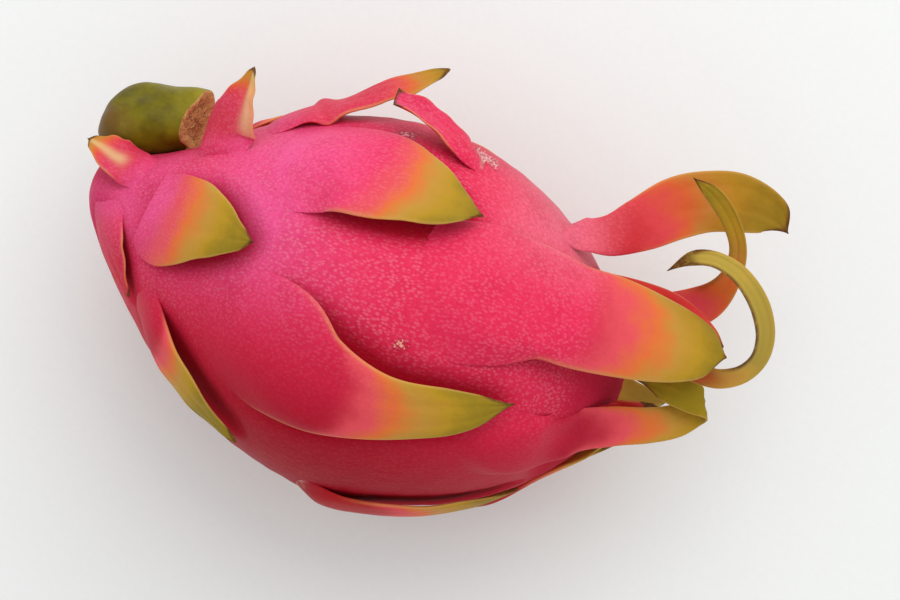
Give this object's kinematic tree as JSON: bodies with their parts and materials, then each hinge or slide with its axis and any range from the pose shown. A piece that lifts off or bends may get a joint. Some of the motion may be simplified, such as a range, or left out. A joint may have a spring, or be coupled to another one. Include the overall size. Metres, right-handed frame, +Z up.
{
  "type": "dragon fruit",
  "caption": "Whole pink dragon fruit lying on its side, with its stem stub and curling green-tipped bracts.",
  "frame": {"origin": "bottom centre of the bounding box; z = 0 is the flat rest spot", "axes": "+X along the fruit from its stem end to its crown, +Z up from the surface it rests on, +Y to the side the stem stub is on"},
  "size_m": [0.1706, 0.1106, 0.094],
  "materials": {
    "skin": "satin",
    "stem_green": "matte",
    "bract_pink": "satin",
    "bract_orange": "satin",
    "bract_green": "satin"
  },
  "bodies": {
    "root": {"fruit_body": "skin", "stem_stub": "stem_green", "bract_stem_left": "bract_pink", "bract_stem_upright": "bract_pink", "bract_shoulder": "bract_pink", "bract_stem_under": "bract_pink", "bract_top_broad": "bract_orange", "bract_arching": "bract_pink", "bract_snapped": "bract_pink", "bract_flank_narrow": "bract_pink", "bract_crescent": "bract_orange", "bract_lower_torn": "bract_pink", "bract_centre_tongue": "bract_orange", "bract_fold_back": "bract_orange", "bract_sliver": "bract_orange", "bract_crown_broad": "bract_orange", "bract_twisted": "bract_orange", "bract_curl": "bract_green", "bract_behind_tongue": "bract_orange", "bract_small_green": "bract_green", "bract_small_curled": "bract_green", "bract_hidden_flank": "bract_pink", "bract_hidden_back_low": "bract_pink", "bract_hidden_back_mid": "bract_orange", "bract_hidden_crown_left": "bract_orange", "bract_hidden_crown_right": "bract_orange", "bract_hidden_crown_under": "bract_green", "bract_hidden_stem_left": "bract_pink", "bract_hidden_stem_right": "bract_pink", "bract_hidden_stem_back": "bract_pink"}
  },
  "joints": []
}
